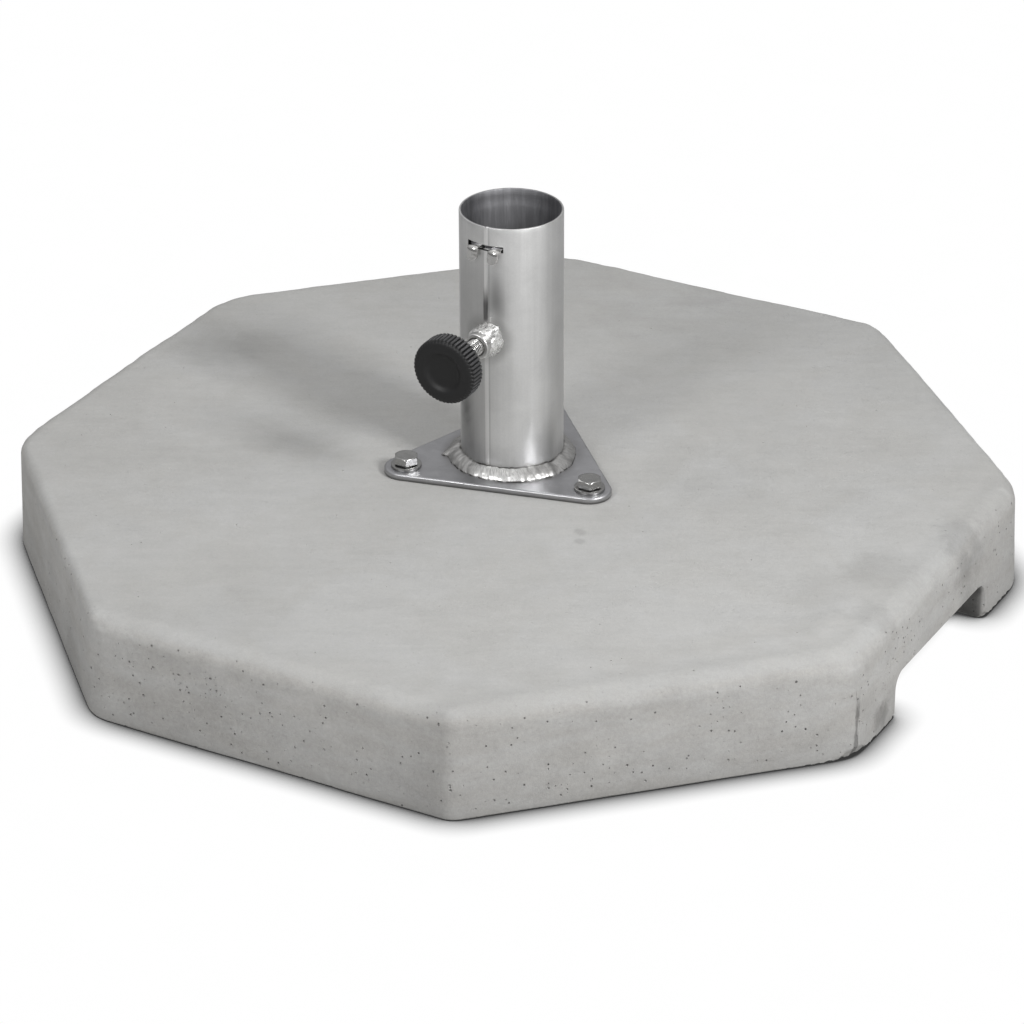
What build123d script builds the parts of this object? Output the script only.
"""Octagonal concrete parasol base with a bolted-on stand tube and a clamp screw.

Millimetres, +Z up. The origin is the centre of the slab's underside. The flats
of the octagon face +X, -X, +Y and -Y, the clamp knob points along -Y, and the
two hand grips open to +X and -X.
"""

from build123d import *

import os
from math import atan2, cos, degrees, radians, sin, sqrt, tan

# ---------------------------------------------------------------- dimensions
# slab
FLATS_BOTTOM = 555.0       # across flats at the underside
FLATS_TOP = 550.0          # across flats at the top
SLAB_H = 64.5
DRAFT = degrees(atan2((FLATS_BOTTOM - FLATS_TOP) / 2, SLAB_H))
ARRIS_R = 10.0             # rounding of the top arris
CORNER_R = 28.0            # rounding of the eight upright corners
GRIP_W = 122.0
GRIP_H = 23.0
GRIP_DEPTH = 32.0
GRIP_R = 9.0               # upper corners of the grip
GRIP_BELOW = 1.0           # the cutter starts this far below the slab
GRIP_BEYOND = 5.0          # and runs this far past its side

# reinforcement cast into the slab
RING_R = 205.0
RING_Z = 20.0
BAR_R = 4.0
BAR_AT = 112.0             # distance of each straight bar from the centre
BAR_GAP = 0.05             # bars lie on each other without sharing volume
BAR_OVERHANG = 6.0         # reach of the bar axes past the hoop's centreline
BAR_LEN = 2 * sqrt((RING_R + BAR_OVERHANG) ** 2 - BAR_AT**2)
BAR_Y_Z = RING_Z + 2 * BAR_R + BAR_GAP            # bars that run along Y
BAR_X_Z = BAR_Y_Z + 2 * BAR_R + BAR_GAP           # bars that run along X

# bolt pattern
BOLT_CIRCLE_R = 128.0 / 2
BOLT_PHASE = 223.1         # degrees, direction of the first bolt
BOLT_ANGLES = [radians(BOLT_PHASE + 120 * k) for k in range(3)]
BOLTS = [(BOLT_CIRCLE_R * cos(a), BOLT_CIRCLE_R * sin(a)) for a in BOLT_ANGLES]

# threaded sockets cast into the slab
INSERT_R = 7.0
INSERT_LEN = 42.0
INSERT_FOOT_R = 11.0
INSERT_FOOT_T = 3.0
INSERT_BORE_R = 4.0
INSERT_FLOOR = 5.0         # solid bottom under the bore
INSERT_BOTTOM = SLAB_H - INSERT_LEN

# base plate and its fasteners
PLATE_T = 4.0
PLATE_TOP = SLAB_H + PLATE_T
PLATE_CORNER_R = 13.0
PLATE_INRADIUS = BOLT_CIRCLE_R / 2 + PLATE_CORNER_R   # corners concentric with bolts
PLATE_HOLE_R = 4.5
PLATE_CHAMFER = 0.4
WASHER_R = 9.0
WASHER_HOLE_R = 4.2
WASHER_T = 1.6
WASHER_CHAMFER = 0.35
HEAD_Z = PLATE_TOP + WASHER_T
HEAD_AF = 13.0             # M8 hexagon, across flats
HEAD_H = 5.3
HEAD_TURN = 28.9           # degrees
BEVEL_R = HEAD_AF / 2 - 0.3   # bevel cone's radius at the top of the head
BEVEL_ANGLE = 30.0         # degrees, slope of the bevel
BEVEL_CONE_H = 20.0        # taller than the head
BEVEL_BLANK_R = 30.0       # well outside the head
SHANK_R = 3.95
BOLT_LEN = 30.0            # below the head

# stand tube
TUBE_R = 60.3 / 2
TUBE_WALL = 2.0
TUBE_IN = TUBE_R - TUBE_WALL
TUBE_TOP = 225.0
MOUTH_R = 28.65            # wider bore above the slot
MOUTH_LEN = 8.0
WELD_LEG_H = 6.0
WELD_LEG_W = 7.4
WELD_MID_W = 0.58          # arc's middle point, as a share of each leg
WELD_MID_H = 0.62

# slot near the top of the tube, a fan seen from above
SLOT_TURN = -3.0           # degrees off the screw direction
SLOT_HALF = 23.0           # degrees
SLOT_BOTTOM = 210.3
SLOT_H = 3.6
# (radius, share of SLOT_HALF)
SLOT_FAN = [(10, -1), (40, -1), (48, 0), (40, 1), (10, 1)]

# clamp screw, M10; places are distances from the tube axis towards -Y
SCREW_Z = 155.3
WALL_HOLE_R = 5.5
WALL_HOLE_START = TUBE_R + 2
WALL_HOLE_DEPTH = 8.0
BOSS_R = 8.0
BOSS_BORE_R = 5.0
BOSS_FACE = 43.0           # outer end
BOSS_ROOT = 20.0           # inner end, before it is cut to the tube
BOSS_ROUNDING = 0.9
BORE_CHAMFER = 0.8
SADDLE_H = 40.0            # height of the tube-sized cutter
BEAD_R = 10.8
BEAD_ROOT = 25.0           # inner end, before it is cut to the tube
STUD_R = 4.95
STUD_END = 77.0            # outer end, inside the knob
STUD_CHAMFER = 1.0
NECK_R = 2.5
NECK_TIP = 28.05
CAP_R = 4.8
CAP_BACK = 30.25           # outer end
CAP_FLOOR = 27.9           # bottom of the cap's bore
CAP_TIP = 26.1             # inner end
CAP_DOME = 1.6             # height of the dome
CAP_BORE_R = NECK_R + 0.06
SHOULDER = CAP_BACK + 0.1  # where the stud steps down to its neck
KNOB_R = 19.4
KNOB_BACK = 69.2           # rim nearer the tube
KNOB_FRONT = 81.3
GROOVES = 50
GROOVE_R = 0.85
GROOVE_AT = KNOB_R + 0.25
HUB_R = 10.0
HUB_END = 60.2             # end nearer the tube
HUB_OVERLAP = 2.0          # reach of the hub into the knob
DISH_R = 11.6
DISH_DEPTH = 1.4
HOLLOW_R = KNOB_R - 2.6
HOLLOW_IN = HUB_R + 0.6
HOLLOW_DEPTH = 7.5
SEAT_LEAD = 1.0            # the seat's cutter starts this far before the hub

# pressure leaf, hooked through the slot
LEAF_W = 20.0
LEAF_T = 1.5
LEAF_BACK = 25.9           # distance of the strip's outer face from the axis
LEAF_INNER = LEAF_BACK - LEAF_T
LEAF_END = 131.0
HOOK_UNDER = SLOT_BOTTOM + 0.3
LEAF_TOP = HOOK_UNDER + LEAF_T
TAB_GAP = 7.0              # between the two hooks
GAP_CENTRE = (-31.0, 208.0)
GAP_SIZE = (7.0, 12.0)
BEND_R = 1.2
FOOT_R = 4.0
TOL = 0.01                 # for picking edges by place

# ------------------------------------------------------------ screw geometry
SCREW_AXIS = Axis((0, 0, SCREW_Z), (0, 1, 0))
# Profiles turned about the screw: first coordinate global Y, second the radius.
TURNING = Plane(origin=(0, 0, SCREW_Z), x_dir=(0, 1, 0), z_dir=(1, 0, 0))


def across(distance):
    """A sketch plane square to the screw, this far from the tube axis, facing -Y."""
    return Plane(origin=(0, -distance, SCREW_Z), x_dir=(1, 0, 0), z_dir=(0, -1, 0))


# ------------------------------------------------------------ reinforcement
# Round hoop of 8 mm bar.
with BuildPart() as reinforcement_ring:
    with BuildSketch(Plane.XZ):
        with Locations((RING_R, RING_Z)):
            Circle(BAR_R)
    revolve(axis=Axis.Z)

# Two bars along Y laid on the hoop, and two along X laid on those.
with BuildPart() as reinforcement_bars:
    for end_plane, bar_z in ((Plane.XZ, BAR_Y_Z), (Plane.YZ, BAR_X_Z)):
        for place in (-BAR_AT, BAR_AT):
            with BuildSketch(end_plane.offset(-BAR_LEN / 2)):
                with Locations((place, bar_z)):
                    Circle(BAR_R)
            extrude(amount=BAR_LEN)

# -------------------------------------------------------------- inserts
# Three M8 sockets with a foot flange, flush with the top of the slab.
with BuildPart() as anchor_inserts:
    for radius, height in ((INSERT_FOOT_R, INSERT_FOOT_T), (INSERT_R, INSERT_LEN)):
        with BuildSketch(Plane.XY.offset(INSERT_BOTTOM)):
            with Locations(*BOLTS):
                Circle(radius)
        extrude(amount=height)
    with BuildSketch(Plane.XY.offset(INSERT_BOTTOM + INSERT_FLOOR)):
        with Locations(*BOLTS):
            Circle(INSERT_BORE_R)
    extrude(amount=INSERT_LEN, mode=Mode.SUBTRACT)

# -------------------------------------------------------------- slab
with BuildPart() as concrete_slab:
    with BuildSketch(Plane.XY):
        RegularPolygon(FLATS_BOTTOM / 2, 8, major_radius=False, rotation=22.5)
    extrude(amount=SLAB_H, taper=DRAFT)
    # upright corners, then the arris that runs around the top
    uprights = concrete_slab.edges().filter_by(
        lambda e: abs((e @ 1 - e @ 0).Z) > SLAB_H / 2
    )
    fillet(uprights, radius=CORNER_R)
    fillet(concrete_slab.faces().sort_by(Axis.Z)[-1].outer_wire().edges(), radius=ARRIS_R)
    # a hand grip under the +X side and one under the -X side
    for side in (1, -1):
        grip_end = Plane(
            origin=(side * (FLATS_BOTTOM / 2 - GRIP_DEPTH), 0, 0),
            x_dir=(0, side, 0),
            z_dir=(side, 0, 0),
        )
        with BuildSketch(grip_end):
            with BuildLine():
                Polyline(
                    (-GRIP_W / 2, -GRIP_BELOW), (GRIP_W / 2, -GRIP_BELOW),
                    (GRIP_W / 2, GRIP_H), (-GRIP_W / 2, GRIP_H),
                    close=True,
                )
            make_face()
        extrude(amount=GRIP_DEPTH + GRIP_BEYOND, mode=Mode.SUBTRACT)
    grip_corners = concrete_slab.edges().filter_by(Axis.X).filter_by(
        lambda e: abs(e.center().Z - GRIP_H) < TOL
        and abs(abs(e.center().Y) - GRIP_W / 2) < TOL
    )
    fillet(grip_corners, radius=GRIP_R)
    # pockets for the sockets, bores included, and for the bars
    add(anchor_inserts.part, mode=Mode.SUBTRACT)
    with BuildSketch(Plane.XY.offset(INSERT_BOTTOM)):
        with Locations(*BOLTS):
            Circle(INSERT_R)
    extrude(amount=INSERT_LEN, mode=Mode.SUBTRACT)
    add(reinforcement_ring.part, mode=Mode.SUBTRACT)
    add(reinforcement_bars.part, mode=Mode.SUBTRACT)

# -------------------------------------------------------------- base plate
# Triangular plate, each rounded corner concentric with its bolt.
with BuildPart() as base_plate:
    with BuildSketch(Plane.XY.offset(SLAB_H)) as plate_outline:
        RegularPolygon(PLATE_INRADIUS, 3, major_radius=False, rotation=BOLT_PHASE)
        fillet(plate_outline.vertices(), radius=PLATE_CORNER_R)
        with Locations(*BOLTS):
            Circle(PLATE_HOLE_R, mode=Mode.SUBTRACT)
    extrude(amount=PLATE_T)
    plate_rim = base_plate.faces().sort_by(Axis.Z)[-1].outer_wire().edges()
    chamfer(plate_rim, length=PLATE_CHAMFER)

with BuildPart() as washers:
    with BuildSketch(Plane.XY.offset(PLATE_TOP)):
        with Locations(*BOLTS):
            Circle(WASHER_R)
            Circle(WASHER_HOLE_R, mode=Mode.SUBTRACT)
    extrude(amount=WASHER_T)
    washer_tops = washers.faces().filter_by(Axis.Z).sort_by(Axis.Z)[-3:]
    chamfer([f.outer_wire().edges()[0] for f in washer_tops], length=WASHER_CHAMFER)

# Hexagon bolts, all turned alike.
with BuildPart() as hex_bolts:
    with BuildSketch(Plane.XY.offset(HEAD_Z)):
        with Locations(*BOLTS):
            RegularPolygon(HEAD_AF / 2, 6, major_radius=False, rotation=HEAD_TURN)
    extrude(amount=HEAD_H)
    with BuildSketch(Plane.XY.offset(HEAD_Z - BOLT_LEN)):
        with Locations(*BOLTS):
            Circle(SHANK_R)
    extrude(amount=BOLT_LEN)

# Each head is cut back to a cone so that its corners are bevelled.
bevelled_bolts = hex_bolts.part
on_base = (Align.CENTER, Align.CENTER, Align.MIN)
for x, y in BOLTS:
    blank = Pos(x, y, HEAD_Z) * Cylinder(BEVEL_BLANK_R, HEAD_H, align=on_base)
    keep = Pos(x, y, HEAD_Z + HEAD_H - BEVEL_CONE_H) * Cone(
        BEVEL_R + BEVEL_CONE_H / tan(radians(BEVEL_ANGLE)), BEVEL_R, BEVEL_CONE_H,
        align=on_base,
    )
    bevelled_bolts = bevelled_bolts - (blank - keep)

# -------------------------------------------------------------- stand tube
with BuildPart() as stand_tube:
    with BuildSketch(Plane.XY.offset(PLATE_TOP)):
        Circle(TUBE_R)
        Circle(TUBE_IN, mode=Mode.SUBTRACT)
    extrude(amount=TUBE_TOP - PLATE_TOP)
    # the mouth above the slot
    with BuildSketch(Plane.XY.offset(TUBE_TOP - MOUTH_LEN)):
        Circle(MOUTH_R)
    extrude(amount=MOUTH_LEN, mode=Mode.SUBTRACT)
    # hole the screw passes through
    with BuildSketch(across(WALL_HOLE_START)):
        Circle(WALL_HOLE_R)
    extrude(amount=-WALL_HOLE_DEPTH, mode=Mode.SUBTRACT)
    # slot for the leaf's hooks
    slot_outline = []
    for radius, share in SLOT_FAN:
        angle = radians(270 + SLOT_TURN + share * SLOT_HALF)
        slot_outline.append((radius * cos(angle), radius * sin(angle)))
    with BuildSketch(Plane.XY.offset(SLOT_BOTTOM)):
        with BuildLine():
            Polyline(*slot_outline, close=True)
        make_face()
    extrude(amount=SLOT_H, mode=Mode.SUBTRACT)

# Fillet weld between the tube and the plate, slightly convex.
with BuildPart() as base_weld:
    weld_corner = (TUBE_R, PLATE_TOP)
    weld_toe = (TUBE_R + WELD_LEG_W, PLATE_TOP)
    weld_top = (TUBE_R, PLATE_TOP + WELD_LEG_H)
    weld_mid = (TUBE_R + WELD_LEG_W * WELD_MID_W, PLATE_TOP + WELD_LEG_H * WELD_MID_H)
    with BuildSketch(Plane.XZ):
        with BuildLine():
            Line(weld_corner, weld_toe)
            ThreePointArc(weld_toe, weld_mid, weld_top)
            Line(weld_top, weld_corner)
        make_face()
    revolve(axis=Axis.Z)

# -------------------------------------------------------------- screw boss
# Round boss, saddled onto the tube.
with BuildPart() as screw_boss:
    with BuildSketch(across(BOSS_FACE)):
        Circle(BOSS_R)
    extrude(amount=-(BOSS_FACE - BOSS_ROOT))
    with BuildSketch(Plane.XY.offset(SCREW_Z - SADDLE_H / 2)):
        Circle(TUBE_R)
    extrude(amount=SADDLE_H, mode=Mode.SUBTRACT)
    boss_rim = screw_boss.faces().sort_by(Axis.Y)[0].outer_wire().edges()
    fillet(boss_rim, radius=BOSS_ROUNDING)
    with BuildSketch(across(BOSS_FACE)):
        Circle(BOSS_BORE_R)
    extrude(amount=-(BOSS_FACE - BOSS_ROOT), mode=Mode.SUBTRACT)
    bore_rim = screw_boss.faces().sort_by(Axis.Y)[0].inner_wires()[0].edges()
    chamfer(bore_rim, length=BORE_CHAMFER)

# Bead that joins the boss to the tube.
with BuildPart() as boss_weld:
    with BuildSketch(TURNING):
        with BuildLine():
            Polyline(
                (-BEAD_ROOT, BOSS_R), (-BEAD_ROOT, BEAD_R + 0.4), (-31.4, BEAD_R),
                (-35.5, BOSS_R + 2.0), (-39.2, BOSS_R),
                close=True,
            )
        make_face()
    revolve(axis=SCREW_AXIS)
    with BuildSketch(Plane.XY.offset(SCREW_Z - SADDLE_H / 2)):
        Circle(TUBE_R)
    extrude(amount=SADDLE_H, mode=Mode.SUBTRACT)

# -------------------------------------------------------------- clamp screw
# Stud seated in the knob, with a thinner neck for the cap.
with BuildPart() as clamp_stud:
    with BuildSketch(TURNING):
        with BuildLine():
            Polyline(
                (-STUD_END, 0), (-STUD_END, STUD_R),
                (-(SHOULDER + STUD_CHAMFER), STUD_R), (-SHOULDER, STUD_R - STUD_CHAMFER),
                (-SHOULDER, NECK_R), (-NECK_TIP, NECK_R), (-NECK_TIP, 0),
                close=True,
            )
        make_face()
    revolve(axis=SCREW_AXIS)

# Grooved knob with a dished face, a hollow back and a hub around the stud.
with BuildPart() as knob:
    with BuildSketch(across(KNOB_BACK)):
        Circle(KNOB_R)
        with PolarLocations(GROOVE_AT, GROOVES):
            Circle(GROOVE_R, mode=Mode.SUBTRACT)
    extrude(amount=KNOB_FRONT - KNOB_BACK)
    with BuildSketch(across(HUB_END)):
        Circle(HUB_R)
    extrude(amount=KNOB_BACK - HUB_END + HUB_OVERLAP)
    # envelope that eases the edges of the hub, the back and the front
    with BuildSketch(TURNING):
        with BuildLine():
            Polyline(
                (-HUB_END, 0), (-HUB_END, HUB_R - 1),
                (-HUB_END - 1, HUB_R), (-KNOB_BACK, HUB_R),
                (-KNOB_BACK, KNOB_R - 0.6), (-KNOB_BACK - 0.6, KNOB_R + 0.1),
                (-KNOB_FRONT + 3.2, KNOB_R + 0.1), (-KNOB_FRONT + 1.0, KNOB_R - 0.9),
                (-KNOB_FRONT, KNOB_R - 2.8), (-KNOB_FRONT, 0),
                close=True,
            )
        make_face()
    revolve(axis=SCREW_AXIS, mode=Mode.INTERSECT)
    # dish in the face
    with BuildSketch(TURNING):
        with BuildLine():
            Polyline(
                (-KNOB_FRONT - 1, 0), (-KNOB_FRONT - 1, DISH_R + 0.8),
                (-KNOB_FRONT, DISH_R), (-KNOB_FRONT + DISH_DEPTH, DISH_R - 2.4),
                (-KNOB_FRONT + DISH_DEPTH, 0),
                close=True,
            )
        make_face()
    revolve(axis=SCREW_AXIS, mode=Mode.SUBTRACT)
    # hollow back around the hub
    with BuildSketch(across(KNOB_BACK)):
        Circle(HOLLOW_R)
        Circle(HOLLOW_IN, mode=Mode.SUBTRACT)
    extrude(amount=HOLLOW_DEPTH, mode=Mode.SUBTRACT)
    # seat of the stud
    with BuildSketch(across(HUB_END - SEAT_LEAD)):
        Circle(STUD_R)
    extrude(amount=STUD_END - HUB_END + SEAT_LEAD, mode=Mode.SUBTRACT)

# Cap on the stud's neck, domed towards the leaf.
with BuildPart() as thrust_cap:
    dome_radius = (CAP_R**2 + CAP_DOME**2) / (2 * CAP_DOME)
    half_angle = 0.5 * atan2(CAP_R, dome_radius - CAP_DOME)
    dome_edge = (-(CAP_TIP + CAP_DOME), CAP_R)
    dome_mid = (
        -CAP_TIP - dome_radius + dome_radius * cos(half_angle),
        dome_radius * sin(half_angle),
    )
    with BuildSketch(TURNING):
        with BuildLine():
            Line((-CAP_BACK, CAP_BORE_R), (-CAP_BACK, CAP_R))
            Line((-CAP_BACK, CAP_R), dome_edge)
            ThreePointArc(dome_edge, dome_mid, (-CAP_TIP, 0))
            Polyline(
                (-CAP_TIP, 0), (-CAP_FLOOR, 0),
                (-CAP_FLOOR, CAP_BORE_R), (-CAP_BACK, CAP_BORE_R),
            )
        make_face()
    revolve(axis=SCREW_AXIS)

# -------------------------------------------------------------- pressure leaf
# The leaf's frame is turned with the slot: first coordinate away from the
# knob side, second global Z.
turn = radians(SLOT_TURN)
LEAF_PLANE = Plane(
    origin=(0, 0, 0), x_dir=(-sin(turn), cos(turn), 0), z_dir=(cos(turn), sin(turn), 0)
)

# Sheet strip that hangs inside the tube from two hooks bent over the slot.
with BuildPart() as pressure_leaf:
    with BuildSketch(LEAF_PLANE.offset(-LEAF_W / 2)):
        with BuildLine():
            Polyline(
                (-LEAF_INNER, LEAF_END), (-LEAF_INNER, LEAF_TOP),
                (-31.9, LEAF_TOP), (-34.8, 204.8), (-33.45, 204.2), (-31.1, HOOK_UNDER),
                (-LEAF_BACK, HOOK_UNDER), (-LEAF_BACK, LEAF_END),
                close=True,
            )
        make_face()
    extrude(amount=LEAF_W)
    # the gap that parts the two hooks
    with BuildSketch(LEAF_PLANE.offset(-TAB_GAP / 2)):
        with Locations(GAP_CENTRE):
            Rectangle(*GAP_SIZE)
    extrude(amount=TAB_GAP, mode=Mode.SUBTRACT)
    # the bend at the top, and the rounded lower corners
    top_bend = pressure_leaf.edges().filter_by(
        lambda e: abs(e.center().Z - LEAF_TOP) < TOL
        and e.length > 5
        and abs((e @ 1 - e @ 0).Z) < TOL
        and e.center().Y > -LEAF_BACK - 1
    )
    fillet(top_bend, radius=BEND_R)
    foot_corners = pressure_leaf.edges().filter_by(
        lambda e: abs(e.center().Z - LEAF_END) < TOL and e.length < LEAF_T + 0.1
    )
    fillet(foot_corners, radius=FOOT_R)

# -------------------------------------------------------------- write files
PIECES = {
    "concrete_slab": concrete_slab.part,
    "reinforcement_ring": reinforcement_ring.part,
    "reinforcement_bars": reinforcement_bars.part,
    "anchor_inserts": anchor_inserts.part,
    "base_plate": base_plate.part,
    "washers": washers.part,
    "hex_bolts": bevelled_bolts,
    "stand_tube": stand_tube.part,
    "base_weld": base_weld.part,
    "screw_boss": screw_boss.part,
    "boss_weld": boss_weld.part,
    "clamp_stud": clamp_stud.part,
    "knob": knob.part,
    "thrust_cap": thrust_cap.part,
    "pressure_leaf": pressure_leaf.part,
}
os.makedirs("parts", exist_ok=True)
for name, piece in PIECES.items():
    piece.label = name
    export_step(piece, f"parts/{name}.step")
